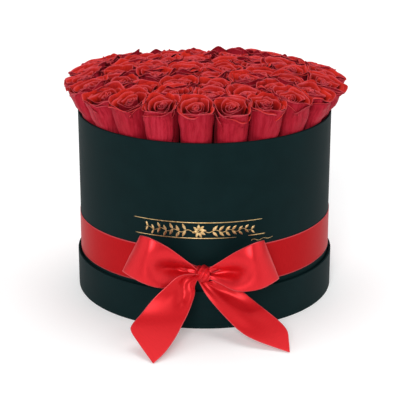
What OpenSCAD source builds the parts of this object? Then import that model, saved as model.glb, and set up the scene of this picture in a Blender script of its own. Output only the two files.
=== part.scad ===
// Round flower box: a paper-wrapped board tube that stands in a shallow base tray,
// filled with floral foam and closely packed rose heads, with a satin ribbon and bow.
// Origin: centre of the tray's underside. +Z is up, the bow is at the front, towards -Y.

/* [Box] */
// Outer diameter of the round box
box_d = 330; // [320:1:340]
// Height of the box's rim above the table
rim_z = 240; // [236:1:244]
// Thickness of the box's board wall
board_t = 2.5; // [2:0.1:3]
// Thickness of the wrapping paper and of the lining
paper_t = 0.3; // [0.2:0.05:0.4]
// How far the wrapping paper turns in over a rim
turn_in = 12; // [8:1:16]

/* [Base tray] */
// Height of the base tray
tray_h = 50; // [46:1:52]
// Thickness of the tray's board wall
tray_board_t = 2.2; // [1.8:0.1:2.4]
// Gap all round between the box and the tray's turned-in paper
tray_gap = 1.7; // [1.2:0.1:2]

/* [Roses] */
// Roses in the outer ring
outer_n = 22; // [20:1:23]
// Roses in the second ring
second_n = 16; // [14:1:17]
// Roses in the third ring
third_n = 10; // [9:1:11]
// Roses in the middle
centre_n = 4; // [3:1:4]
// Height of a rose head, from its calyx to its inner petals
head_h = 62; // [58:1:63]
// Radius of a rose head at its open top
head_r = 20; // [18:0.5:20]
// How far the outward petals of the outer ring flare past the head
flare = 9; // [5:1:10]
// Outward lean of the outer ring
outer_lean = 15; // [12:1:16]
// Length of the wooden pick below each calyx
pick_len = 38; // [30:1:45]

/* [Ribbon] */
// Width of the ribbon
ribbon_w = 50; // [46:1:52]
// Gap between the base tray and the ribbon band
ribbon_gap = 5.5; // [4:0.5:7]
// Slant of the ribbon band, higher at the right
ribbon_tilt = 0.7; // [0:0.1:0.8]
// Thickness given to the band
band_t = 0.5; // [0.4:0.1:0.8]
// Thickness given to the loops and tails of the bow
bow_t = 1; // [0.8:0.1:1]

/* [Hidden] */
$fn = 96;

box_r = box_d / 2;
tube_r = box_r - paper_t;            // outside of the board tube
tube_in = tube_r - board_t;          // inside of the board tube
lining_in = tube_in - paper_t;       // inside of the lining
tray_floor_t = 2.5;
seat_gap = 0.3;                      // the box's seat above the tray's floor
box_z = paper_t + tray_floor_t + seat_gap;
floor_top = box_z + board_t;
edge_r = 2.5 * paper_t;              // rounding of the paper over a rim
tray_paper_in = box_r + tray_gap;
tray_in = tray_paper_in + paper_t;   // inside of the tray's board
tray_out = tray_in + tray_board_t;
tray_r = tray_out + paper_t;

head_z = rim_z - 19;                 // underside of the rose heads
calyx_h = 8;
calyx_r = 7;
foam_top = head_z - calyx_h - 1;
foam_split = (floor_top + foam_top) / 2;
foam_r = lining_in - 0.4;
guard_sweep = 96;
pick_r = 1.5;
pick_fit = 0.05;                     // room round a pick in its hole

outer_phase = -4.2;                  // turn of each ring about the box's axis
second_phase = 4;
third_phase = 10;
centre_phase = 20;
outer_base = box_r - 26.4;           // radius of each ring at the underside of its heads
second_base = box_r - 59.5;
third_base = box_r - 95.5;
centre_base = 29;
second_lean = 7;
third_lean = 2;
centre_lift = 8;                     // the bunch is slightly domed
third_lift = 7;
second_lift = 4;

band_z = tray_h + ribbon_gap + ribbon_w / 2;
band_in = box_r + 0.45;
knot_x = -2.5;
knot_z = band_z - 3.5;
knot_w = 18;
knot_r = 10;
knot_y = band_in + band_t + knot_r + 0.3;
bow_k = ribbon_w / 50;               // the bow is drawn for a ribbon 50 wide
floor_clear = 0.4;
loop_steps = 4;                      // stations between two points of a ribbon's edge

paper_green = "#14272a";
board_grey = "#8d8a80";
satin_red = "#c9202c";
petal_red = "#a81f2b";
petal_dark = "#8f1822";
foam_green = "#2f4a33";

function two_digits(i) = str(i < 10 ? "0" : "", i);
function rose_name(ring, i) = str("rose_", ring, "_", two_digits(i + 1));

// ---- board and paper ----

module ring(r_out, r_in, z0, z1) {
    rotate_extrude()
        translate([r_in, z0])
            square([r_out - r_in, z1 - z0]);
}

// Paper glued round a board wall, over its rounded rim and down the inside
module wrapped_paper(r_out, r_in, z0, z1) {
    wall = r_out - r_in;
    rotate_extrude()
        difference() {
            union() {
                translate([r_in, z0]) square([wall, z1 - z0 - edge_r]);
                translate([r_in + edge_r, z0]) square([wall - 2 * edge_r, z1 - z0]);
                translate([r_in + edge_r, z1 - edge_r]) circle(r = edge_r);
                translate([r_out - edge_r, z1 - edge_r]) circle(r = edge_r);
            }
            translate([r_in + paper_t, z0 - 1]) square([wall - 2 * paper_t, z1 - z0 + 1 - paper_t]);
            translate([r_in - 1, z0 - 1]) square([paper_t + 1, z1 - z0 + 1 - turn_in]);
        }
}

module tray_bottom_sheet() {
    color(paper_green) cylinder(r = tray_r, h = paper_t);
}

module tray_floor() {
    color(board_grey) translate([0, 0, paper_t]) cylinder(r = tray_in, h = tray_floor_t);
}

module tray_wall() {
    color(board_grey) ring(tray_out, tray_in, paper_t, tray_h - paper_t);
}

module tray_cover_paper() {
    color(paper_green) wrapped_paper(tray_r, tray_paper_in, paper_t, tray_h);
}

module body_tube() {
    color(board_grey) ring(tube_r, tube_in, box_z, rim_z - paper_t);
}

module body_floor() {
    color(board_grey) translate([0, 0, box_z]) cylinder(r = tube_in, h = board_t);
}

module body_lining() {
    color(paper_green) ring(tube_in, lining_in, floor_top, rim_z - turn_in);
}

module body_cover_paper() {
    color(paper_green) wrapped_paper(box_r, lining_in, box_z, rim_z);
}

// ---- foam ----

module foam_lower() {
    color(foam_green) translate([0, 0, floor_top]) cylinder(r = foam_r, h = foam_split - floor_top);
}

module foam_upper() {
    color(foam_green)
        difference() {
            translate([0, 0, foam_split]) cylinder(r = foam_r, h = foam_top - foam_split);
            every_rose() pick(pick_r + pick_fit, pick_len + 1);
        }
}

// ---- roses ----

// Puts its child at the underside of a head of a ring, with +X outwards and +Z along the leaning head
module at_rose(n, i, phase, base_r, lean, lift) {
    rotate([0, 0, phase - 90 + i * 360 / n])
        translate([base_r, 0, head_z + lift])
            rotate([0, lean, 0])
                children();
}

module at_outer(i) {
    at_rose(outer_n, i, outer_phase, outer_base, outer_lean, 0) children();
}

module at_second(i) {
    at_rose(second_n, i, second_phase, second_base, second_lean, second_lift) children();
}

module at_third(i) {
    at_rose(third_n, i, third_phase, third_base, third_lean, third_lift) children();
}

module at_centre(i) {
    at_rose(centre_n, i, centre_phase, centre_base, 0, centre_lift) children();
}

module every_rose() {
    for (i = [0:outer_n - 1]) at_outer(i) children();
    for (i = [0:second_n - 1]) at_second(i) children();
    for (i = [0:third_n - 1]) at_third(i) children();
    for (i = [0:centre_n - 1]) at_centre(i) children();
}

// A head: packed petals that open upwards round a raised bud
module rose_head() {
    rotate_extrude()
        polygon([
            [0, 0], [0.35 * head_r, 0], [0.7 * head_r, 0.16 * head_h],
            [0.82 * head_r, 0.34 * head_h], [0.92 * head_r, 0.62 * head_h],
            [head_r, 0.92 * head_h], [0.9 * head_r, 0.98 * head_h],
            [0.62 * head_r, 0.93 * head_h], [0.34 * head_r, head_h], [0, head_h]
        ]);
}

// The outward petals of a rose at the edge, which bend out over the rim
module guard_petal() {
    rotate([0, 0, -guard_sweep / 2])
        rotate_extrude(angle = guard_sweep)
            polygon([
                [0.5 * head_r, 0.3 * head_h], [0.8 * head_r, 0.34 * head_h],
                [head_r + 0.1 * flare, 0.67 * head_h], [head_r + 0.5 * flare, 0.94 * head_h],
                [head_r + flare, 1.03 * head_h], [head_r + 0.8 * flare, 1.05 * head_h],
                [0.86 * head_r, 0.95 * head_h], [0.5 * head_r, 0.9 * head_h]
            ]);
}

module outer_rose(i) {
    color(i % 2 == 0 ? petal_red : petal_dark)
        at_outer(i)
            union() {
                rose_head();
                guard_petal();
            }
}

module second_rose(i) {
    color(i % 2 == 0 ? petal_dark : petal_red) at_second(i) rose_head();
}

module roses_third_ring() {
    color(petal_red) for (i = [0:third_n - 1]) at_third(i) rose_head();
}

module roses_centre() {
    color(petal_dark) for (i = [0:centre_n - 1]) at_centre(i) rose_head();
}

module rose_calyxes() {
    color("#4d6b35")
        every_rose()
            translate([0, 0, -calyx_h]) cylinder(r1 = 0.45 * calyx_r, r2 = calyx_r, h = calyx_h);
}

// A wooden pick that points down from the calyx
module pick(r, length) {
    translate([0, 0, -calyx_h - length]) cylinder(r = r, h = length, $fn = 24);
}

module rose_picks() {
    color("#c9a66b") every_rose() pick(pick_r, pick_len);
}

// ---- ribbon ----

// Smooth curve through points: u runs from 0 to their number less one
function point_near(pts, i) = pts[min(max(i, 0), len(pts) - 1)];
function curve_at(pts, u) =
    let (
        i = min(floor(u), len(pts) - 2),
        f = u - i,
        a = point_near(pts, i - 1),
        b = pts[i],
        c = pts[i + 1],
        d = point_near(pts, i + 2)
    )
    b + 0.5 * f * ((c - a) + f * ((2 * a - 5 * b + 4 * c - d) + f * (3 * (b - c) + d - a)));
function curve(pts) = [for (u = [0:1 / loop_steps:len(pts) - 1 + 0.001]) curve_at(pts, u)];
function above_floor(p) = [p[0], p[1], max(p[2], floor_clear + bow_t / 2)];
function unit(v) = v / norm(v);

// A strip of ribbon between two edges, each a list of as many points
module ribbon_run(edge_a, edge_b) {
    a = [for (p = curve(edge_a)) above_floor(p)];
    b = [for (p = curve(edge_b)) above_floor(p)];
    last = len(a) - 1;
    mid = (a + b) / 2;
    across = [for (k = [0:last]) b[k] - a[k]];
    along = [for (k = [0:last]) mid[min(k + 1, last)] - mid[max(k - 1, 0)]];
    off = [for (k = [0:last]) unit(cross(across[k], along[k])) * bow_t / 2];
    ring_points = [for (k = [0:last]) each [a[k] + off[k], b[k] + off[k], b[k] - off[k], a[k] - off[k]]];
    walls = [
        for (k = [0:last - 1], j = [0:3])
            let (p = 4 * k + j, q = 4 * k + (j + 1) % 4)
            each [[p, q, q + 4], [p, q + 4, p + 4]]
    ];
    end = 4 * last;
    caps = [[0, 3, 2], [0, 2, 1], [end, end + 1, end + 2], [end, end + 2, end + 3]];
    polyhedron(points = ring_points, faces = concat(walls, caps));
}

// Points of the bow, from the front of the box and the middle of its knot
function from_knot(pts) = [
    for (p = pts) [knot_x + bow_k * (p[0] + 2.5), bow_k * p[1] - box_r, knot_z + bow_k * p[2]]
];
// Points of a tail, from the front of the box and the table
function from_table(pts) = [
    for (p = pts) [knot_x + bow_k * (p[0] + 2.5), bow_k * p[1] - box_r, p[2] * knot_z / 77]
];

left_loop_top = [
    [-12, -15, 7], [-22, -18, 20], [-45, -23, 40], [-66, -22, 51], [-79, -9, 49],
    [-66, -6, 37], [-45, -8, 20], [-24, -10, 7], [-12, -11, 5]
];
left_loop_bottom = [
    [-12, -15, -4], [-24, -20, -7], [-50, -30, -11], [-78, -31, -2], [-101, -12, 4],
    [-80, -6, -8], [-52, -8, -15], [-25, -11, -9], [-12, -11, -4]
];
right_loop_top = [
    [7, -15, 7], [18, -18, 19], [38, -22, 34], [58, -22, 44], [72, -9, 43],
    [58, -6, 30], [38, -8, 15], [18, -10, 6], [7, -11, 5]
];
right_loop_bottom = [
    [7, -15, -4], [20, -22, -9], [40, -32, -14], [68, -31, -11], [91, -12, -6],
    [70, -6, -17], [42, -8, -20], [20, -10, -11], [7, -11, -4]
];
left_tail_outer = [
    [-12, -20, 81], [-30, -31, 85], [-43, -35, 73.5], [-56, -38, 62.5], [-68, -43, 51],
    [-77, -49, 40], [-85, -57, 31.5], [-89, -66, 24.5], [-79, -82, 14], [-62, -103, 1]
];
left_tail_inner = [
    [-12, -19, 72], [-13, -25, 65.5], [-12, -29, 59.5], [-15, -36, 51], [-20, -47, 40],
    [-26, -56.5, 32], [-31, -66, 25], [-37, -76, 18], [-48, -91, 8.5], [-61, -105, 1]
];
right_tail_outer = [
    [6, -11, 66], [24, -13.5, 68.5], [42, -15, 59], [62, -22, 44], [81, -33, 32.5],
    [94, -40, 27.5], [104, -47.5, 21], [104, -60, 10.5], [102, -73, 1]
];
right_tail_inner = [
    [-8, -11, 66], [0, -17, 53.5], [11, -26.5, 42], [25, -37.5, 30], [38, -48, 20],
    [51, -56.5, 13.5], [68, -63, 8.5], [85, -68.5, 4.5], [101, -75, 1]
];

module ribbon_band() {
    color(satin_red)
        translate([0, 0, band_z])
            rotate([0, -ribbon_tilt, 0])
                ring(band_in + band_t, band_in, -ribbon_w / 2, ribbon_w / 2);
}

module bow_knot() {
    color(satin_red)
        translate([knot_x - knot_w / 2, -knot_y, knot_z])
            rotate([0, 90, 0])
                rotate_extrude()
                    polygon([
                        [0, 0], [0.72 * knot_r, 0], [0.93 * knot_r, 0.15 * knot_w],
                        [knot_r, 0.4 * knot_w], [knot_r, 0.6 * knot_w],
                        [0.93 * knot_r, 0.85 * knot_w], [0.72 * knot_r, knot_w], [0, knot_w]
                    ]);
}

module bow_loop_left() {
    color(satin_red) ribbon_run(from_knot(left_loop_top), from_knot(left_loop_bottom));
}

module bow_loop_right() {
    color(satin_red) ribbon_run(from_knot(right_loop_top), from_knot(right_loop_bottom));
}

module bow_tail_left() {
    color(satin_red) ribbon_run(from_table(left_tail_outer), from_table(left_tail_inner));
}

module bow_tail_right() {
    color(satin_red) ribbon_run(from_table(right_tail_outer), from_table(right_tail_inner));
}

// ---- assembly ----

tray_bottom_sheet();
tray_floor();
tray_wall();
tray_cover_paper();
body_tube();
body_floor();
body_lining();
body_cover_paper();
foam_lower();
foam_upper();
ribbon_band();
bow_knot();
bow_loop_left();
bow_loop_right();
bow_tail_left();
bow_tail_right();
rose_picks();
rose_calyxes();
roses_centre();
roses_third_ring();
for (i = [0:second_n - 1]) second_rose(i);
for (i = [0:outer_n - 1]) outer_rose(i);
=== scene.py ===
"""Looks of the flower box: satin bow, petals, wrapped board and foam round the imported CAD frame."""
import math
import random

import bpy
import numpy as np
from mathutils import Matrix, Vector


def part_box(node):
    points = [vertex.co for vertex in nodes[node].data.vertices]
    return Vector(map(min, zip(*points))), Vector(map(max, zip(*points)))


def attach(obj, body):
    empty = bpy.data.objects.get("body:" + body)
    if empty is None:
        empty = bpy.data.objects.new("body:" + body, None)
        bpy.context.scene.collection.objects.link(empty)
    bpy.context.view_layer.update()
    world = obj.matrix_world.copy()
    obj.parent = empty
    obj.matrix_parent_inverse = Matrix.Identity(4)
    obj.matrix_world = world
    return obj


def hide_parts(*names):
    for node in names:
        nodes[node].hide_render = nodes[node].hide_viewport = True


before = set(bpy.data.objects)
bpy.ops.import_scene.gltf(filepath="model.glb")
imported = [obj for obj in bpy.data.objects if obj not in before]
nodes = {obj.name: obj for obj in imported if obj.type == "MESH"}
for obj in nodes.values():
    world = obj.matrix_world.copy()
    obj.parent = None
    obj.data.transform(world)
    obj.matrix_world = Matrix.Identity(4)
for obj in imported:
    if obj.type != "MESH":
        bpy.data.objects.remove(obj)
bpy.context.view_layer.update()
scene = bpy.context.scene

MM = 0.001

# Places taken from the frame, in metres
box_lo, box_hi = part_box("body_cover_paper")
band_lo, band_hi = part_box("ribbon_band")
knot_lo, knot_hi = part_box("bow_knot")
BOX_R = (box_hi.x - box_lo.x) / 2
BOX_IN = BOX_R - 3.5 * MM        # clear of the box's turned-in paper
RIM_Z = box_hi.z
KNOT = (knot_lo + knot_hi) / 2


# ---------------------------------------------------------------- node materials

class Shader:
    """A material with one Principled shader, and short calls that add nodes to it."""

    def __init__(self, name, roughness, color=None):
        self.material = bpy.data.materials.new(name)
        self.material.use_nodes = True
        self.tree = self.material.node_tree
        self.shader = self.tree.nodes["Principled BSDF"]
        self.set(self.shader, "Roughness", roughness)
        if color:
            self.set(self.shader, "Base Color", (*color, 1))

    def set(self, node, socket, value):
        """Sets a socket, or links it when the value is another node's output."""
        if isinstance(value, bpy.types.NodeSocket):
            self.tree.links.new(value, node.inputs[socket])
        else:
            node.inputs[socket].default_value = value

    def add(self, kind, output=0, settings=None, **inputs):
        node = self.tree.nodes.new("ShaderNode" + kind)
        for key, value in (settings or {}).items():
            setattr(node, key, value)
        for socket, value in inputs.items():
            self.set(node, socket.replace("_", " "), value)
        return node.outputs[output]

    def attribute(self, name):
        return self.add("Attribute", "Fac", {"attribute_name": name})

    def position(self):
        return self.add("TexCoord", "Object")

    def math(self, operation, a, b):
        node = self.tree.nodes.new("ShaderNodeMath")
        node.operation = operation
        self.set(node, 0, a)
        self.set(node, 1, b)
        return node.outputs[0]

    def vector(self, x, y, z):
        return self.add("CombineXYZ", X=x, Y=y, Z=z)

    def mix(self, share, a, b):
        node = self.tree.nodes.new("ShaderNodeMix")
        node.data_type = "RGBA"
        for index, value in ((0, share), (6, a), (7, b)):        # 6 and 7 are its colour inputs
            if isinstance(value, bpy.types.NodeSocket):
                self.tree.links.new(value, node.inputs[index])
            else:
                node.inputs[index].default_value = value if index == 0 else (*value, 1)
        return node.outputs[2]

    def tint(self, base, share, strength, color):
        """Blends a colour into base by a share, which strength scales down."""
        return self.mix(self.math("MULTIPLY", share, strength), base, color)

    def noise(self, vector, scale, detail, roughness=0.55):
        return self.add("TexNoise", "Fac", Vector=vector, Scale=scale, Detail=detail, Roughness=roughness)

    def drawn_noise(self, x, pace_x, y, pace_y, layer, detail):
        """Noise over two lengths in millimetres, drawn out where their paces differ; one noise per layer."""
        x, y = self.math("MULTIPLY", x, pace_x), self.math("MULTIPLY", y, pace_y)
        return self.noise(self.vector(x, y, layer), 1.0, detail)

    def ramp(self, value, low, high):
        """0 at low and 1 at high, which may be the smaller of the two; flat beyond them."""
        node = self.tree.nodes.new("ShaderNodeMapRange")
        self.set(node, "Value", value)
        self.set(node, "From Min", low)
        self.set(node, "From Max", high)
        return node.outputs[0]

    def color(self, value):
        self.set(self.shader, "Base Color", value)

    def bump(self, height, distance, strength):
        normal = self.add("Bump", Height=height, Distance=distance, Strength=strength)
        self.set(self.shader, "Normal", normal)


def wrapping_paper():
    """Matte, very dark green paper with a fine felt-like grain."""
    s = Shader("wrapping_paper", roughness=0.62)
    s.shader.inputs["Specular IOR Level"].default_value = 0.06
    place = s.position()
    cloud = s.noise(place, 38, 4)
    fleck = s.noise(place, 900, 2)
    base = s.mix(s.ramp(cloud, 0.35, 0.7), (0.0019, 0.0114, 0.0124), (0.0029, 0.0142, 0.0154))
    s.color(s.tint(base, s.ramp(fleck, 0.55, 0.8), 0.25, (0.007, 0.022, 0.024)))
    s.bump(s.noise(place, 1500, 3), 0.00005, 0.5)
    s.set(s.shader, "Roughness", s.math("ADD", s.math("MULTIPLY", cloud, 0.12), 0.56))
    return s.material


def greyboard():
    """Pressed grey pulp board."""
    s = Shader("greyboard", roughness=0.85)
    place = s.position()
    fibre = s.noise(place, 260, 6, 0.7)
    fleck = s.noise(place, 1400, 2)
    base = s.mix(fibre, (0.20, 0.18, 0.15), (0.34, 0.32, 0.27))
    s.color(s.mix(s.ramp(fleck, 0.66, 0.72), base, (0.10, 0.09, 0.07)))
    s.bump(fibre, 0.0002, 0.6)
    return s.material


def floral_foam():
    """Crumbly open foam with fine cells."""
    s = Shader("floral_foam", roughness=0.95)
    place = s.position()
    cells = s.add("TexVoronoi", "Distance", Vector=place, Scale=1100.0)
    dents = s.noise(place, 60, 5)
    base = s.mix(dents, (0.035, 0.075, 0.035), (0.07, 0.13, 0.06))
    s.color(s.mix(s.ramp(cells, 0.0, 0.5), (0.02, 0.045, 0.02), base))
    s.bump(s.math("ADD", cells, s.math("MULTIPLY", dents, 2.0)), 0.0006, 0.8)
    return s.material


def satin(name, dull, bright, metallic, specular):
    """Woven satin: fine weft threads across the ribbon, a painted pale highlight along its edges, a soft
    coloured sheen.
    """
    s = Shader(name, roughness=0.40)
    s.shader.inputs["Metallic"].default_value = metallic
    s.shader.inputs["Specular IOR Level"].default_value = specular
    along = s.attribute("along")
    across = s.attribute("across")
    weft = s.drawn_noise(along, 2.2, across, 0.12, 0.0, 2)
    slub = s.drawn_noise(along, 0.7, across, 0.05, 3.0, 3)
    threads = s.mix(s.ramp(weft, 0.3, 0.7), dull, bright)
    # Painted highlight: a pale pink tint along the ribbon's edges
    edge = s.ramp(s.attribute("edge_highlight"), 0.15, 0.9)
    s.color(s.tint(threads, edge, 0.5, (0.80, 0.16, 0.18)))
    s.set(s.shader, "Roughness", s.math("ADD", s.math("MULTIPLY", slub, 0.10), 0.34))
    s.bump(s.math("ADD", weft, s.math("MULTIPLY", slub, 0.6)), 0.00005, 0.2)
    return s.material


def petal():
    """Preserved petal: crimson and streaked outside, warmer inside, a painted pale highlight along its lip,
    painted shade towards its foot.
    """
    s = Shader("rose_petal", roughness=0.6)
    s.shader.inputs["Specular IOR Level"].default_value = 0.06
    s.shader.inputs["Sheen Weight"].default_value = 0.02
    s.shader.inputs["Sheen Roughness"].default_value = 0.4
    s.shader.inputs["Sheen Tint"].default_value = (1.0, 0.50, 0.52, 1)
    across = s.attribute("across")
    along = s.attribute("along")
    tone = s.attribute("tone")
    veins = s.drawn_noise(across, 0.9, along, 0.16, tone, 4)
    cloud = s.drawn_noise(across, 0.09, along, 0.06, tone, 3)
    streak = s.drawn_noise(across, 0.42, along, 0.035, tone, 4)
    outside = s.mix(s.ramp(veins, 0.32, 0.68), (0.33, 0.007, 0.019), (0.44, 0.014, 0.032))
    outside = s.tint(outside, s.ramp(streak, 0.48, 0.66), 0.55, (0.52, 0.030, 0.055))
    outside = s.tint(outside, s.ramp(streak, 0.50, 0.34), 0.50, (0.21, 0.003, 0.010))
    inside = s.mix(s.ramp(veins, 0.3, 0.7), (0.53, 0.012, 0.007), (0.68, 0.028, 0.012))
    face = s.mix(s.attribute("inner_face"), outside, inside)
    face = s.tint(face, s.ramp(cloud, 0.5, 0.75), 0.35, (0.48, 0.030, 0.040))
    # Painted shade: the petal darkens towards its foot, where the crowded petals shade each other
    face = s.tint(face, s.attribute("foot"), 0.92, (0.060, 0.001, 0.003))
    petal_shade = s.math("FRACT", s.math("MULTIPLY", tone, 7.3), 0.0)
    face = s.tint(face, petal_shade, 0.42, (0.26, 0.004, 0.012))
    # Painted highlight: a pale pink band along the lip, broken up by the cloud noise
    pale = s.math("ADD", s.math("MULTIPLY", s.ramp(cloud, 0.35, 0.65), 0.65), 0.30)
    s.color(s.tint(face, s.attribute("lip"), pale, (0.74, 0.110, 0.135)))
    s.set(s.shader, "Roughness", s.math("ADD", s.math("MULTIPLY", cloud, 0.2), 0.48))
    grain = s.noise(s.vector(across, along, tone), 2.4, 2)
    s.bump(s.math("ADD", s.math("ADD", veins, grain), s.math("MULTIPLY", cloud, 1.5)), 0.0004, 0.6)
    return s.material


def calyx_green():
    s = Shader("calyx_green", roughness=0.7)
    place = s.position()
    streak = s.noise(place, 220, 4)
    s.color(s.mix(streak, (0.045, 0.085, 0.022), (0.12, 0.17, 0.05)))
    s.bump(streak, 0.0003, 0.5)
    return s.material


def pick_wood():
    s = Shader("pick_wood", roughness=0.7)
    place = s.position()
    grain = s.add("TexWave", "Fac", Vector=place, Scale=700.0, Distortion=6.0, Detail=3.0)
    s.color(s.mix(grain, (0.40, 0.26, 0.12), (0.56, 0.39, 0.20)))
    s.bump(grain, 0.0001, 0.4)
    return s.material


def gold_foil():
    """Hot-stamped foil: metal with a fine pressed grain."""
    s = Shader("gold_foil", roughness=0.3)
    s.shader.inputs["Metallic"].default_value = 1.0
    place = s.position()
    wear = s.noise(place, 420, 4)
    s.color(s.mix(s.ramp(wear, 0.35, 0.7), (0.55, 0.33, 0.12), (0.95, 0.70, 0.36)))
    s.set(s.shader, "Roughness", s.math("ADD", s.math("MULTIPLY", wear, 0.25), 0.2))
    return s.material


PAPER = wrapping_paper()
BOARD = greyboard()
FOAM = floral_foam()
# One satin in three settings: the tails' and the band's copies are darker and less shiny, painted shade that
# makes them come out darker than the bow under the same lamps
SATIN = satin("satin_bow", (0.63, 0.008, 0.014), (0.73, 0.013, 0.022), 0.56, 0.45)
SATIN_TAIL_SHADED = satin("satin_tail_shaded", (0.54, 0.005, 0.009), (0.63, 0.008, 0.014), 0.34, 0.24)
SATIN_BAND_SHADED = satin("satin_band_shaded", (0.38, 0.005, 0.008), (0.46, 0.008, 0.011), 0.10, 0.03)
PETAL = petal()
CALYX = calyx_green()
WOOD = pick_wood()
GOLD = gold_foil()


def paint_cad_nodes():
    """The board, paper, foam and pick nodes keep their CAD shape."""
    finishes = {
        PAPER: ["tray_bottom_sheet", "tray_cover_paper", "body_lining", "body_cover_paper"],
        BOARD: ["tray_floor", "tray_wall", "body_tube", "body_floor"],
        FOAM: ["foam_lower", "foam_upper"],
        WOOD: ["rose_picks"],
        CALYX: ["rose_calyxes"],
    }
    for material, names in finishes.items():
        for name in names:
            mesh = nodes[name].data
            mesh.materials.clear()
            mesh.materials.append(material)


# ---------------------------------------------------------------- mesh helpers

def spline(points, count):
    """Smooth curve through points, as count places along it."""
    pts = np.array(points, float)
    u = np.linspace(0, len(pts) - 1, count)
    i = np.minimum(u.astype(int), len(pts) - 2)
    f = (u - i)[:, None]
    a, b, c, d = pts[np.maximum(i - 1, 0)], pts[i], pts[i + 1], pts[np.minimum(i + 2, len(pts) - 1)]
    return b + 0.5 * f * ((c - a) + f * ((2 * a - 5 * b + 4 * c - d) + f * (3 * (b - c) + d - a)))


def smooth(low, high, value):
    t = np.clip((value - low) / (high - low), 0, 1)
    return t * t * (3 - 2 * t)


def normals_of(grid):
    """Unit normals of a grid of points [row, column, xyz]."""
    n = np.cross(np.gradient(grid, axis=0), np.gradient(grid, axis=1))
    return n / np.maximum(np.linalg.norm(n, axis=2, keepdims=True), 1e-12)


def shell_faces(rows, columns, closed=False):
    """Quads of a thin closed shell: a front grid, a back grid after it, and the walls between them."""
    size = rows * columns
    r, c = np.meshgrid(np.arange(rows if closed else rows - 1), np.arange(columns - 1), indexing="ij")
    a, b = (r * columns + c).ravel(), ((r + 1) % rows * columns + c).ravel()
    front = np.stack([a, a + 1, b + 1, b], axis=1)
    back = front[:, ::-1] + size
    start, end = a[c.ravel() == 0], b[c.ravel() == 0]
    left = np.stack([start, end, size + end, size + start], axis=1)
    right = left[:, ::-1] + columns - 1
    faces = [front, back, left, right]
    if not closed:
        foot = np.arange(columns - 1)
        bottom = np.stack([foot, size + foot, size + foot + 1, foot + 1], axis=1)
        faces += [bottom, bottom[:, ::-1] + (rows - 1) * columns]
    return np.concatenate(faces)


def make_piece(name, points, faces, material, body, attributes):
    """A smooth mesh piece in metres that rides on a body, with float attributes on its points."""
    mesh = bpy.data.meshes.new(name)
    mesh.vertices.add(len(points))
    mesh.vertices.foreach_set("co", np.asarray(points, np.float32).ravel())
    mesh.loops.add(faces.size)
    mesh.loops.foreach_set("vertex_index", np.asarray(faces, np.int32).ravel())
    mesh.polygons.add(len(faces))
    mesh.polygons.foreach_set("loop_start", np.arange(len(faces), dtype=np.int32) * faces.shape[1])
    mesh.update(calc_edges=True)
    mesh.polygons.foreach_set("use_smooth", np.ones(len(faces), bool))
    for key, values in attributes.items():
        mesh.attributes.new(key, "FLOAT", "POINT").data.foreach_set("value", np.asarray(values, np.float32))
    mesh.materials.append(material)
    mesh.update()
    piece = bpy.data.objects.new(name, mesh)
    scene.collection.objects.link(piece)
    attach(piece, body)
    return piece


# ---------------------------------------------------------------- ribbon

RIBBON_W = 50 * MM
RIBBON_T = 0.4 * MM
# Width over which the painted highlight along each ribbon edge fades
EDGE_HIGHLIGHT_W = 1.2 * MM
BOW_GRID = (97, 33)              # points along and across each loop and tail
TABLE_GAP = 0.5 * MM             # least height of a tail's middle layer above the table


def ribbon_piece(name, grid, material, closed=False):
    """A strip of ribbon with real thickness. grid is [station along, place across, xyz] in metres."""
    rows, columns = grid.shape[:2]
    if closed:
        padded = np.concatenate([grid[-1:], grid, grid[:1]])
        normal = normals_of(padded)[1:-1]
    else:
        normal = normals_of(grid)
    off = normal * RIBBON_T / 2
    points = np.concatenate([(grid + off).reshape(-1, 3), (grid - off).reshape(-1, 3)])
    step_along = np.linalg.norm(np.diff(grid, axis=0), axis=2)
    along = np.concatenate([np.zeros((1, columns)), np.cumsum(step_along, axis=0)])
    step_across = np.linalg.norm(np.diff(grid, axis=1), axis=2)
    across = np.concatenate([np.zeros((rows, 1)), np.cumsum(step_across, axis=1)], axis=1)
    from_edge = np.minimum(across, across[:, -1:] - across)
    # 1 at the ribbon's edges, fading inwards: where the painted edge highlight goes
    edge_highlight = 1 - np.clip(from_edge / EDGE_HIGHLIGHT_W, 0, 1)
    attributes = {
        "along": np.tile(along.ravel(), 2) / MM,
        "across": np.tile(across.ravel(), 2) / MM,
        "edge_highlight": np.tile(edge_highlight.ravel(), 2),
    }
    faces = shell_faces(rows, columns, closed)
    return make_piece(name, points, faces, material, "box", attributes)


def strip_grid(edge_a, edge_b, rows, columns):
    """Straight lines between two smooth edges, in metres from points in millimetres."""
    a, b = spline(edge_a, rows) * MM, spline(edge_b, rows) * MM
    t = np.linspace(0, 1, columns)[None, :, None]
    return a[:, None] * (1 - t) + b[:, None] * t


def from_knot(points):
    """From millimetres off the box's front and the knot's middle height."""
    return [(x, y - BOX_R / MM, z + KNOT.z / MM) for x, y, z in points]


def from_table(points):
    """From millimetres off the box's front and the table."""
    return [(x, y - BOX_R / MM, z) for x, y, z in points]


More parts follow.
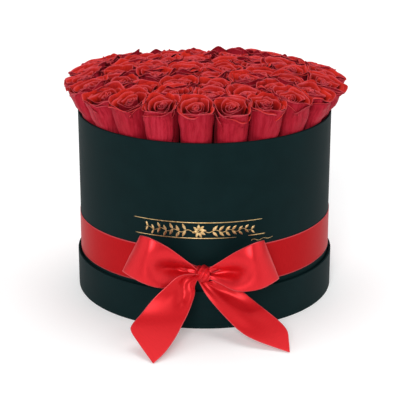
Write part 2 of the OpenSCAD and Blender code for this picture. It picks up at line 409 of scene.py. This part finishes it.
LEFT_LOOP_TOP = [
    (-9, -15, 8), (-22, -17, 20), (-45, -19, 40), (-66, -17, 51), (-79, -9, 49),
    (-66, -6, 37), (-45, -8, 20), (-24, -10, 6), (-12, -11, 1),
]
LEFT_LOOP_BOTTOM = [
    (-9, -15, -5), (-24, -20, -7), (-50, -26, -11), (-78, -28, -2), (-101, -12, 4),
    (-80, -6, -8), (-52, -8, -15), (-25, -11, -9), (-12, -11, -4),
]
RIGHT_LOOP_TOP = [
    (5, -15, 8), (18, -17, 19), (38, -18, 34), (58, -17, 44), (72, -9, 43),
    (58, -6, 30), (38, -8, 15), (18, -10, 5), (7, -11, 1),
]
RIGHT_LOOP_BOTTOM = [
    (5, -15, -5), (20, -22, -9), (40, -29, -14), (68, -28, -11), (91, -12, -6),
    (70, -6, -17), (42, -8, -20), (20, -10, -11), (7, -11, -4),
]
LEFT_TAIL_OUTER = [
    (-8, -19, 80), (-30, -31, 85), (-43, -35, 73.5), (-56, -38, 62.5), (-68, -43, 51),
    (-77, -49, 40), (-86, -56, 32.5), (-90, -64, 26.5), (-78, -81.5, 14.5), (-62, -103, 1),
]
LEFT_TAIL_INNER = [
    (-8, -19, 73), (-13, -25, 65.5), (-12, -29, 59.5), (-15, -36, 51), (-20, -47, 40),
    (-26, -56.5, 32), (-31, -66, 25), (-37, -76, 18), (-48, -91, 8.5), (-61, -104, 1),
]
RIGHT_TAIL_OUTER = [
    (6, -11, 68), (24, -13, 68.5), (42, -15, 59), (62, -22, 44), (81, -33, 32.5),
    (92, -40.5, 25.5), (100, -48.5, 18.5), (101.5, -61, 9.5), (102, -73, 1),
]
RIGHT_TAIL_INNER = [
    (-8, -12, 68), (0, -18, 53.5), (11, -26.5, 42), (25, -37.5, 30), (38, -48, 20),
    (51, -56.5, 13.5), (68, -63, 8.5), (85, -68.5, 4.5), (101, -74, 1),
]


def pleated(grid, reach, depth, folds, phase, both_ends=False):
    """Gathers the ribbon into pleats that fade out over reach from its first row."""
    columns = grid.shape[1]
    middle = grid[:, columns // 2]
    run = np.concatenate([[0], np.cumsum(np.linalg.norm(np.diff(middle, axis=0), axis=1))])
    fade = np.exp(-run / reach)
    if both_ends:
        fade = np.maximum(fade, np.exp(-(run[-1] - run) / reach))
    turns = 2 * math.pi * np.linspace(0, 1, columns)
    wave = np.sin(folds * turns + phase) + 0.4 * np.sin((folds * 2 + 0.7) * turns + 2 * phase)
    return grid + normals_of(grid) * (fade[:, None] * wave[None, :] * depth)[..., None]


def bellied(grid, depth, share):
    """Lets the front run of a loop, its first share, belly out towards -Y, most near its outer end."""
    rows, columns = grid.shape[:2]
    s = np.clip(np.linspace(0, 1, rows) / share, 0, 1)[:, None]
    t = np.linspace(0, 1, columns)[None, :]
    grid[..., 1] -= depth * np.sin(math.pi * s ** 1.7) ** 1.2 * (0.45 + 0.55 * np.sin(math.pi * t))
    return grid


def dented(grid, dents):
    """Pushes hollows into a ribbon's face, or ridges out of it where the depth is negative.

    Each dent is its depth in millimetres, its middle along and across as shares of the ribbon, its
    width along and across, and how far its middle moves across over the ribbon's length.
    """
    rows, columns = grid.shape[:2]
    s = np.linspace(0, 1, rows)[:, None]
    t = np.linspace(0, 1, columns)[None, :]
    normal = normals_of(grid)
    normal *= np.sign(normal[..., 1:2])
    for depth, s0, t0, ws, wt, drift in dents:
        shape = np.exp(-(((s - s0) / ws) ** 2) - ((t - t0 - drift * (s - s0)) / wt) ** 2)
        grid = grid + normal * (depth * MM * shape)[..., None]
    return grid


def eased(grid, passes):
    """Rounds off a ribbon's bends along its run, but leaves the corners of its cut end."""
    soft = grid.copy()
    for _ in range(passes):
        soft[1:-1] = (soft[:-2] + 2 * soft[1:-1] + soft[2:]) / 4
    s = np.linspace(0, 1, len(grid))[:, None, None]
    return soft + (grid - soft) * smooth(0.66, 0.84, s)


def above_table(grid):
    grid[..., 2] = np.maximum(grid[..., 2], TABLE_GAP)
    return grid


def bow():
    loops = {
        "bow_loop_left": (LEFT_LOOP_TOP, LEFT_LOOP_BOTTOM, 0.6, [
            (17, 0.185, 0.55, 0.15, 0.29, 0.0), (-2, 0.24, 0.98, 0.12, 0.16, 0.0),
            (3, 0.08, 0.30, 0.04, 0.10, 0.5)]),
        "bow_loop_right": (RIGHT_LOOP_TOP, RIGHT_LOOP_BOTTOM, 2.1, [
            (17, 0.18, 0.54, 0.15, 0.29, 0.2), (-2, 0.20, 0.98, 0.12, 0.16, 0.0),
            (3, 0.07, 0.25, 0.04, 0.12, 0.5)]),
    }
    for name, (top, bottom, phase, dents) in loops.items():
        grid = strip_grid(from_knot(top), from_knot(bottom), *BOW_GRID)
        grid = bellied(grid, 12 * MM, share=0.5)
        grid = dented(grid, dents)
        grid = pleated(grid, 15 * MM, 2.6 * MM, 1.6, phase, both_ends=True)
        piece = ribbon_piece(name + "_ribbon", grid, SATIN)
        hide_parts(name)
    tails = {
        "bow_tail_left": (LEFT_TAIL_OUTER, LEFT_TAIL_INNER, 1.2, [
            (5, 0.16, 0.50, 0.13, 0.17, 1.0), (3, 0.33, 0.74, 0.07, 0.12, 0.0),
            (-3, 0.28, 0.88, 0.14, 0.15, 0.0)]),
        "bow_tail_right": (RIGHT_TAIL_OUTER, RIGHT_TAIL_INNER, 0.3, [
            (4, 0.20, 0.42, 0.14, 0.20, -0.6), (-3, 0.42, 0.60, 0.16, 0.30, 0.0)]),
    }
    for name, (outer, inner, phase, dents) in tails.items():
        grid = eased(strip_grid(from_table(outer), from_table(inner), *BOW_GRID), passes=40)
        grid = dented(grid, dents)
        grid = pleated(grid, 16 * MM, 1.6 * MM, 1.7, phase)
        grid = above_table(grid)
        # The tails take the darker satin copy, painted shade
        piece = ribbon_piece(name + "_ribbon", grid, SATIN_TAIL_SHADED)
        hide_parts(name)


def knot():
    """The wrapped turn over the bow's middle, gathered into slanting folds."""
    rows, columns = 96, 41
    half_w = (knot_hi.x - knot_lo.x) / 2
    radius = (knot_hi.z - knot_lo.z) / 2
    turn = np.linspace(0, 2 * math.pi, rows, endpoint=False)[:, None]
    t = np.linspace(-1, 1, columns)[None, :]
    bulge = np.sqrt(np.clip(1 - (0.78 * t) ** 2, 0, 1))
    folds = 0.085 * np.cos(8.0 * t - 5 * turn + 0.5) + 0.04 * np.cos(15 * t - 9 * turn)
    r = radius * (bulge + folds * (1 - 0.3 * t * t))
    x = KNOT.x + half_w * t * (1 + 0.06 * np.sin(turn * 2)) + 0 * turn
    y = KNOT.y + r * np.sin(turn)
    z = KNOT.z + r * np.cos(turn)
    grid = np.stack([x, y, z], axis=2)
    piece = ribbon_piece("bow_knot_ribbon", grid, SATIN, closed=True)
    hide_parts("bow_knot")


def band():
    """The ribbon round the box: slightly slanted, and gathered where the knot ties it."""
    rows, columns = 360, 25
    angle = np.linspace(0, 2 * math.pi, rows, endpoint=False)[:, None]
    t = np.linspace(-1, 1, columns)[None, :]
    middle_z = (band_lo.z + band_hi.z) / 2
    slant = (band_hi.z - band_lo.z - RIBBON_W) / 2
    from_front = np.minimum(angle, 2 * math.pi - angle) * BOX_R
    gather_reach, pulled_down, pulled_up = 36 * MM, 24.5 * MM, 11 * MM
    gather = np.exp(-((from_front / gather_reach) ** 2))
    width = RIBBON_W / 2 * t
    pinch = gather * np.where(t > 0, pulled_down, pulled_up) * t
    ripple = 0.8 * MM * gather * np.cos(7 * t + 1.0) ** 2
    radius = BOX_R + 0.45 * MM + ripple + 0.15 * MM * np.sin(angle * 5 + 1) ** 2
    x, y = radius * np.sin(angle), -radius * np.cos(angle)
    z = middle_z + slant * np.sin(angle) + width - pinch
    grid = np.stack([x, y, z], axis=2)
    # The band takes the darkest satin copy, painted shade
    piece = ribbon_piece("ribbon_band_satin", grid, SATIN_BAND_SHADED, closed=True)
    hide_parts("ribbon_band")


# ---------------------------------------------------------------- roses

SPREADS = 72                     # directions in which a rose's room is measured
HEAD_H = 64.5 * MM               # calyx to the outer petals' lips
PRESS_H = 52 * MM                # height up a head at which it presses on its neighbours
CALYX_SPAN = 17.5 * MM           # from a calyx's first point, takes in all of it and none of the next
OUTER_RING = BOX_R * 0.75        # each ring round the middle lies beyond its radius here
SECOND_RING = BOX_R * 0.55
THIRD_RING = BOX_R * 0.3
FREE_ROOM = 23.5 * MM            # how far a head spreads on a side without a neighbour
FAR = 70 * MM                    # roses further off than this don't meet
BUD_DROP = 0.05                  # how much lower the bud stands, as a share of HEAD_H
PETALS = 15
PETAL_T = 0.6 * MM
PETAL_TURN = math.radians(137.5)
STRIP = 16                       # rows of points up an outer petal
SQUARENESS = 2.9                 # outer roses press flat against each other
SIDE_LIFT = 1.5 * MM             # the bunch is slightly higher at its sides
BACK_DROP = 3.2 * MM             # and lower at its back
OVERLAP = 2.4 * MM               # how far a petal may reach past its rose's room
# The pale band along the lip is a painted highlight
LIP_HIGHLIGHT_W = 1.7 * MM                 # pale band along a petal's lip


class Rose:
    """Place of one rose head: the middle of its calyx, its axis, and the directions round it."""

    def __init__(self, base, axis):
        self.base = base
        self.ring_r = math.hypot(base[0], base[1])
        self.out = np.array([base[0], base[1], 0.0]) / self.ring_r
        self.outer = self.ring_r > OUTER_RING
        self.front = max(0.0, -self.out[1]) ** 2         # 1 for a rose right at the front
        upright = 0.11 * self.front if self.outer else 0.0
        axis = axis - self.out * upright                 # the roses at the front stand straighter
        self.axis = axis / np.linalg.norm(axis)
        self.x = self.out - self.axis * (self.out @ self.axis)
        self.x /= np.linalg.norm(self.x)
        self.y = np.cross(self.axis, self.x)
        self.top = base + self.axis * PRESS_H
        self.flare = 1 - 0.85 * self.front

    def reach(self, height):
        """How far an outer rose goes outwards: held by the box below its rim, then bulging over it."""
        sin, cos = self.out @ self.axis, self.axis[2]
        wall = (BOX_IN - self.ring_r - height * sin) / cos
        rim = (RIM_Z + 0.8 * MM - self.base[2] + 18 * MM * sin) / cos        # on the head's outer side
        at_rim = (BOX_IN - self.ring_r - rim * sin) / cos
        free_heights = (rim, rim + 4 * MM, 38 * MM, 50 * MM, HEAD_H)
        free_reach = (at_rim, at_rim + 2.6 * MM, (21.2 + 3.4 * self.flare) * MM,
                      (21.8 + 4.4 * self.flare) * MM, (22.6 + 6.0 * self.flare) * MM)
        above = np.interp(height, free_heights, free_reach)
        return np.where(height < rim, np.minimum(wall, 19.5 * MM), above)


class Wave:
    """One smooth wave of displacement through a rose; a few of them crumple its petals."""

    def __init__(self, rng):
        direction, push = (np.array([rng.gauss(0, 1) for _ in range(3)]) for _ in range(2))
        self.pace = direction / np.linalg.norm(direction) * 2 * math.pi / (rng.uniform(16, 40) * MM)
        self.push = push / np.linalg.norm(push) * 0.8 * MM
        self.phase = rng.uniform(0, 2 * math.pi)

    def at(self, points):
        return np.sin(points @ self.pace + self.phase)[..., None] * self.push


def ends_of(points):
    """The middles of a round piece's upper and lower end, found along its own axis."""
    axis = np.array([0.0, 0.0, 1.0])
    for share in (0.5, 0.35, 0.25, 0.15, 0.08, 0.04, 0.02, 0.02):
        height = points @ axis
        near = share * (height.max() - height.min())
        upper, lower = points[height > height.max() - near], points[height < height.min() + near]
        up, low = (upper.min(0) + upper.max(0)) / 2, (lower.min(0) + lower.max(0)) / 2
        axis = (up - low) / np.linalg.norm(up - low)
    return up, low


def read_roses():
    """Each calyx in the frame gives one rose: its two round ends give the axis."""
    points = np.array([v.co for v in nodes["rose_calyxes"].data.vertices], float)
    points = np.unique(points.round(6), axis=0)
    roses = []
    while len(points):
        near = np.linalg.norm(points - points[0], axis=1) < CALYX_SPAN
        one, points = points[near], points[~near]
        up, low = ends_of(one)
        roses.append(Rose(up, (up - low) / np.linalg.norm(up - low)))
    return sorted(roses, key=lambda r: (-round(r.ring_r / (8 * MM)), math.atan2(r.base[1], r.base[0])))


def room_of(rose, roses):
    """How far the rose may spread in each direction before it meets its neighbours halfway."""
    angles = np.arange(SPREADS) * 2 * math.pi / SPREADS
    room = np.full(SPREADS, FREE_ROOM)
    for other in roses:
        gap = other.top - rose.top
        if other is rose or np.linalg.norm(gap) > FAR:
            continue
        gx, gy = gap @ rose.x, gap @ rose.y
        facing = np.cos(angles - math.atan2(gy, gx))
        halfway = math.hypot(gx, gy) / 2 / np.maximum(facing, 0.05)
        reach = np.where(facing > 0.05, halfway, FREE_ROOM)
        room = np.minimum(room, reach)
    kernel = np.array([1, 2, 3, 2, 1]) / 9
    for _ in range(2):
        padded = np.concatenate([room[-2:], room, room[:2]])
        room = np.convolve(padded, kernel, mode="valid")
    return room


def envelope(height):
    """Radius of a head that has 21 mm of room, at each height."""
    share = np.clip(height / HEAD_H, 0, 1)
    return (3.5 + 16.3 * (1 - np.exp(-share / 0.10)) + 1.2 * smooth(0.6, 1.0, share)) * MM


def petal_grid(k, rng, openness, rows, columns):
    """One petal as angle, radius and height round the head's axis, with its u, v and half angle.

    u runs across the petal from -1 to 1 and v from its foot to its lip.
    """
    q = k / (PETALS - 1)
    outer = smooth(0.50, 0.80, q)
    foot = 0.50 * (1 - smooth(0.45, 0.8, q))             # inner petals start where they can be seen
    t = np.linspace(0, 1, rows)[:, None]
    v = foot + (1 - foot) * (1 - (1 - t) ** 1.7)
    u = np.linspace(-1, 1, columns)[None, :]
    # Half its angle round the head, and its place in the spiral from the bud outwards
    half = math.radians(150 - 80 * smooth(0.1, 0.55, q) + 24 * smooth(0.9, 1.0, q))
    order = np.clip((k + 0.55 * u) / (PETALS - 1), 0, 1.03)

    # The middle of the petal's height stands at middle_r; above it the petal leans out and rolls its lip
    middle_r = (2.0 + 17.6 * order ** 0.88) * MM
    lean = math.radians(-7 + 25 * smooth(0.2, 0.60, q) - 14 * smooth(0.72, 1.0, q) + rng.uniform(-4, 4))
    roll = math.radians(34 + 96 * outer * rng.uniform(0.6, 1.1))
    phase = rng.uniform(0, 2 * math.pi)
    roll_u = roll * (0.62 + 0.38 * np.cos(u * rng.uniform(1.6, 3.0) + phase))
    slope = lean * openness * smooth(0.5, 0.92, v) + roll_u * smooth(0.93, 1.0, v)
    step = np.diff(v, axis=0, prepend=v[:1])
    out = np.cumsum(np.sin(slope) * step * HEAD_H, axis=0)
    up = v[0] * HEAD_H + np.cumsum(np.cos(slope) * step * HEAD_H, axis=0)

    # Its lip hangs at the sides, may rise to a point in the middle, and may slope to one side
    droop = (0.03 + 0.05 * outer) * np.abs(u) ** 2.8
    tip = 0.035 * np.exp(-((u / 0.22) ** 2)) * rng.uniform(0.0, 1.0)
    skew = rng.uniform(0.02, 0.085) * rng.choice((-1, 1)) * outer * u
    drop = BUD_DROP * (2 - openness) * (1 - smooth(0.15, 0.9, q))
    top = HEAD_H * (1 - drop + rng.uniform(-0.02, 0.02))
    height = up / up.max() * top * (1 - (droop - tip - skew) * smooth(0.35, 0.9, v))
    swell = 1 - np.exp(-v / 0.10)
    ripple = np.sin(u * rng.uniform(3.5, 6.0) * (1 + outer) + phase * 2) * smooth(0.55, 1.0, v)
    radius = (middle_r + rng.uniform(-0.5, 0.5) * MM) * swell + out + (0.6 + 0.4 * outer) * MM * ripple
    wave = np.sin(u * rng.uniform(2.5, 5.0) + phase) + 0.5 * np.sin(u * rng.uniform(7.0, 11.0) + phase)
    height = height + (0.7 + 0.7 * outer) * MM * wave * smooth(0.8, 1.0, v)
    turn = k * PETAL_TURN + rng.uniform(-0.2, 0.2)
    angle = turn + u * half * (0.8 + 0.2 * smooth(0, 0.5, v))
    return angle, radius, height, u + 0 * v, v + 0 * u, half


def rose_mesh(rose, roses, seed):
    """All the petals of one rose as one mesh: points, faces and attributes."""
    rng = random.Random(seed)
    room = room_of(rose, roses)
    rose.side_room = min(room[SPREADS // 4], room[3 * SPREADS // 4])
    around = np.arange(SPREADS + 1) * 2 * math.pi / SPREADS
    twist = rng.uniform(0, 2 * math.pi)
    handed = rng.choice((-1, 1))
    lift = rng.uniform(-2.2, 1.6) * MM
    lift += SIDE_LIFT * rose.out[0] ** 2 - BACK_DROP * max(0.0, rose.out[1]) ** 2
    openness = rng.uniform(0.55, 1.15)
    tone = rng.uniform(0, 1)
    nod = np.array([rng.uniform(-0.09, 0.09), rng.uniform(-0.09, 0.09)]) * (0.4 if rose.outer else 1)
    if rose.outer:                                       # the last petal hides the others' side edges
        twist = rng.uniform(-0.45, 0.45) - handed * (PETALS - 1) * PETAL_TURN
    waves = [Wave(rng) for _ in range(7)]
    points, faces = [], []
    keys = ("across", "along", "lip", "foot", "inner_face", "tone")
    values = {key: [] for key in keys}
    start = 0
    for k in range(PETALS):
        rows, columns = (STRIP, 21) if k >= PETALS - 6 else (10, 19)
        angle, radius, height, u, v, half = petal_grid(k, rng, openness, rows, columns)
        angle = handed * angle + twist
        if rose.outer:                                   # it opens outwards, so that side is lower
            open_side = np.cos(angle) * np.clip(radius / (20 * MM), 0, 1)
            height = height - (1.2 + 2.2 * rose.front) * MM * open_side * smooth(0.5, 0.95, v)
        spread = np.interp(angle % (2 * math.pi), around, np.append(room, room[0]))
        share = height / HEAD_H
        spread = spread * (0.965 + 0.035 * smooth(0.3, 0.9, share))
        if rose.outer:
            out = np.clip(np.cos(angle), 0, 1) / rose.reach(height)
            side = np.abs(np.sin(angle)) / (rose.side_room * (0.925 + 0.075 * smooth(0.45, 0.9, share)))
            edge = (out ** SQUARENESS + side ** SQUARENESS) ** (-1 / SQUARENESS)
            spread = np.where(np.cos(angle) > 0, edge, spread)
        radius = radius * (1 + (spread / envelope(height) - 1) * smooth(0.0, 0.12, share))
        over = np.maximum(radius - spread, 0)
        radius = radius - over + OVERLAP * np.tanh(over / OVERLAP)
        local = (radius * np.cos(angle))[..., None] * rose.x + (radius * np.sin(angle))[..., None] * rose.y
        sway = (height ** 2 / HEAD_H)[..., None] * (nod[0] * rose.x + nod[1] * rose.y)
        grid = rose.base + local + sway + (height + lift)[..., None] * rose.axis
        crumple = sum(wave.at(grid - rose.base) for wave in waves)
        grid = grid + crumple * smooth(0.5, 0.85, v)[..., None]
        normal = normals_of(grid)
        foot_row = rows // 3
        sign = np.sign((normal[foot_row] * local[foot_row]).sum())
        thick = PETAL_T / 2 * (1.0 - 0.5 * smooth(0.85, 1.0, v))
        off = normal * sign * thick[..., None]
        shell = shell_faces(rows, columns)
        if sign < 0:
            shell = shell[:, ::-1]
        points += [(grid + off).reshape(-1, 3), (grid - off).reshape(-1, 3)]
        faces.append(shell + start)
        start += 2 * rows * columns
        wide = half * 17 * MM                            # about half the petal's width
        # How strongly each point takes the lip's painted highlight, fading away from the lip
        lip = 1 - np.clip((1 - v) * HEAD_H / LIP_HIGHLIGHT_W, 0, 1)
        per_petal = {
            "across": u * wide / MM + 60 * k, "along": v * HEAD_H / MM, "lip": lip,
            "tone": np.full(u.shape, tone + 0.31 * k),
        }
        for key, value in per_petal.items():
            values[key] += [value.ravel(), value.ravel()]
        values["inner_face"] += [np.zeros(u.size), np.ones(u.size)]
        # Painted shade towards each petal's foot: on every inside, and on the outsides except those of an
        # outer rose's last four petals
        foot = (1 - smooth(0.86 - 0.28 * k / PETALS, 0.995, v)).ravel()
        hidden = not rose.outer or k < PETALS - 4        # only the outer roses show their outsides
        values["foot"] += [foot * hidden, foot]
    return np.concatenate(points), np.concatenate(faces), {key: np.concatenate(values[key]) for key in keys}


def node_of(rose, names):
    """The CAD node, among names, whose box's middle is nearest to the rose."""
    def gap(name):
        lo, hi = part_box(name)
        return (Vector(rose.base + rose.axis * HEAD_H / 2) - (lo + hi) / 2).length
    return min(names, key=gap)


def flowers():
    roses = read_roses()
    single = [n for n in nodes if n.startswith(("rose_outer_", "rose_second_"))]
    counts = {"roses_third_ring": 0, "roses_centre": 0}
    for seed, rose in enumerate(roses):
        points, faces, attributes = rose_mesh(rose, roses, 100 + seed)
        if rose.ring_r > SECOND_RING:
            node = node_of(rose, single)
            name = node + "_petals"
        else:
            node = "roses_third_ring" if rose.ring_r > THIRD_RING else "roses_centre"
            counts[node] += 1
            name = f"{node}_{counts[node]:02d}_petals"
        piece = make_piece(name, points, faces, PETAL, "box", attributes)
        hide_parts(node)


# ---------------------------------------------------------------- gold ornament

FOIL_T = 0.12 * MM
FOIL_GAP = 0.05 * MM
FOIL_Z = RIM_Z * 0.534           # height of the ornament's middle
FOIL_HALF = 11 * MM              # from its middle up or down to a rule


def on_box(flat, proud):
    """Wraps flat points [.., (along, height)] round the box's front, that far proud of its paper."""
    radius = BOX_R + proud
    angle = flat[..., 0] / BOX_R
    return np.stack([radius * np.sin(angle), -radius * np.cos(angle), FOIL_Z + flat[..., 1]], axis=-1)


def foil_strip(centre, half_width):
    """A foil line along flat points, half_width wide each side at each point, as points and quads."""
    centre = np.asarray(centre, float)
    along = np.gradient(centre, axis=0)
    side = np.stack([-along[:, 1], along[:, 0]], axis=1) / np.linalg.norm(along, axis=1, keepdims=True)
    t = np.linspace(-1, 1, 4)[None, :, None]
    flat = centre[:, None] - side[:, None] * np.asarray(half_width)[:, None, None] * t
    points = np.concatenate([on_box(flat, FOIL_GAP + FOIL_T), on_box(flat, FOIL_GAP)]).reshape(-1, 3)
    return points, shell_faces(len(centre), 4)


def leaf(foot, direction, length, width):
    """A pointed leaf on the flat: its foot, the angle it points at, and its size."""
    steps = 12
    t = np.linspace(0, 1, steps + 1)
    bend = 0.35 * np.sin(direction)
    turned = direction - bend * t
    x = foot[0] + np.cumsum(np.cos(turned)) * length / steps
    z = foot[1] + np.cumsum(np.sin(turned)) * length / steps
    return foil_strip(np.stack([x, z], axis=1), 0.06 * MM + width / 2 * np.sin(math.pi * t ** 0.8) ** 0.9)


def ornament():
    """Foil rules with a leafy sprig between them, in place of any lettering."""
    parts = []
    start, end = -76 * MM, 62 * MM       # the stem's ends along the front
    middle = (start + end) / 2
    leaf_pairs = 17

    def stem_height(x):
        return 1.6 * MM * np.sin((x - start) / (17 * MM) * 2 * math.pi)

    def tapered_line(left, right, height, count, thin, thick, power):
        """A foil line between two places along the front, thin at its ends; height is a function of x."""
        x = np.linspace(left, right, count)
        taper = np.sin(math.pi * np.linspace(0, 1, count)) ** power
        parts.append(foil_strip(np.stack([x, height(x)], axis=1), thin + thick * taper))

    for left, right, share in ((-92, 73, 1.0), (-90, 39, -0.84), (54, 77, -0.78)):
        tapered_line(left * MM, right * MM, lambda x: np.full(len(x), share * FOIL_HALF), 90,
                     0.12 * MM, 0.42 * MM, 0.35)
    tapered_line(start, end, stem_height, 160, 0.1 * MM, 0.3 * MM, 0.5)
    # Leaves in pairs along the stem, larger towards the flower in the middle
    for i in range(leaf_pairs):
        foot_x = start + (i + 0.5) * (end - start) / leaf_pairs
        from_middle = foot_x - middle
        if abs(from_middle) < 9 * MM:
            continue
        away = 0 if from_middle > 0 else math.pi
        size = 1.12 - 0.45 * abs(from_middle) / (end - middle)
        foot = (foot_x, stem_height(foot_x))
        for up in (1, -1):
            direction = away + (up if away == 0 else -up) * 0.95
            parts.append(leaf(foot, direction, 8.8 * MM * size, 3.4 * MM * size))
    for i in range(8):
        angle = i * math.pi / 4 + 0.2
        foot = (middle + 1.1 * MM * math.cos(angle), 1.1 * MM * math.sin(angle))
        parts.append(leaf(foot, angle, 7.2 * MM, 3.6 * MM))
    # A small scroll below the right end
    x = np.linspace(58, 88, 70) * MM
    scroll = -15.5 * MM + 1.3 * MM * np.sin((x - 58 * MM) / (2.2 * MM)) * np.linspace(1, 0.4, 70)
    parts.append(foil_strip(np.stack([x, scroll], axis=1), np.full(70, 0.22 * MM)))
    points, faces, start_at = [], [], 0
    for strip_points, strip_faces in parts:
        points.append(strip_points)
        faces.append(strip_faces + start_at)
        start_at += len(strip_points)
    make_piece("gold_foil_sprig", np.concatenate(points), np.concatenate(faces), GOLD, "box", {})


# ---------------------------------------------------------------- stage

def stage():
    floor_mesh = bpy.data.meshes.new("floor")
    half = 6.0                       # of the floor's side
    corners = [(-half, -half, 0), (half, -half, 0), (half, half, 0), (-half, half, 0)]
    floor_mesh.from_pydata(corners, [], [(0, 1, 2, 3)])
    floor = bpy.data.objects.new("floor", floor_mesh)
    scene.collection.objects.link(floor)
    s = Shader("pale_floor", roughness=0.9, color=(0.95, 0.95, 0.95))
    s.shader.inputs["Specular IOR Level"].default_value = 0.0
    s.shader.inputs["Emission Color"].default_value = (1, 1, 1, 1)
    s.shader.inputs["Emission Strength"].default_value = 0.15
    floor_mesh.materials.append(s.material)

    world = bpy.data.worlds.new("studio")
    world.use_nodes = True
    world.node_tree.nodes["Background"].inputs["Color"].default_value = (1, 1, 1, 1)
    world.node_tree.nodes["Background"].inputs["Strength"].default_value = 0.20
    scene.world = world

    def soft_sun(name, direction, angle, strength):
        light = bpy.data.lights.new(name, "SUN")
        light.angle = math.radians(angle)
        light.energy = strength
        lamp = bpy.data.objects.new(name, light)
        lamp.rotation_euler = Vector(direction).to_track_quat("Z", "Y").to_euler()
        scene.collection.objects.link(lamp)

    soft_sun("key", (-0.15, -1.0, 0.55), 22, 1.7)
    soft_sun("right", (1.0, -0.35, 0.5), 50, 0.60)
    soft_sun("left", (-1.0, -0.25, 0.5), 50, 0.56)
    soft_sun("top", (0.05, 0.25, 1.0), 45, 1.35)


def camera():
    """The photo's angle: level across, looking down on the box from the front."""
    data = bpy.data.cameras.new("camera")
    data.sensor_width = 36.0
    data.lens = 125.8
    data.clip_end = 50
    cam = bpy.data.objects.new("camera", data)
    cam.location = (-0.006, -1.761, 0.7334)
    cam.rotation_euler = (math.radians(90 - 19.48), 0, 0)
    scene.collection.objects.link(cam)
    scene.camera = cam


camera()
stage()
paint_cad_nodes()
band()
bow()
knot()
flowers()
ornament()

scene.view_settings.view_transform = "Standard"
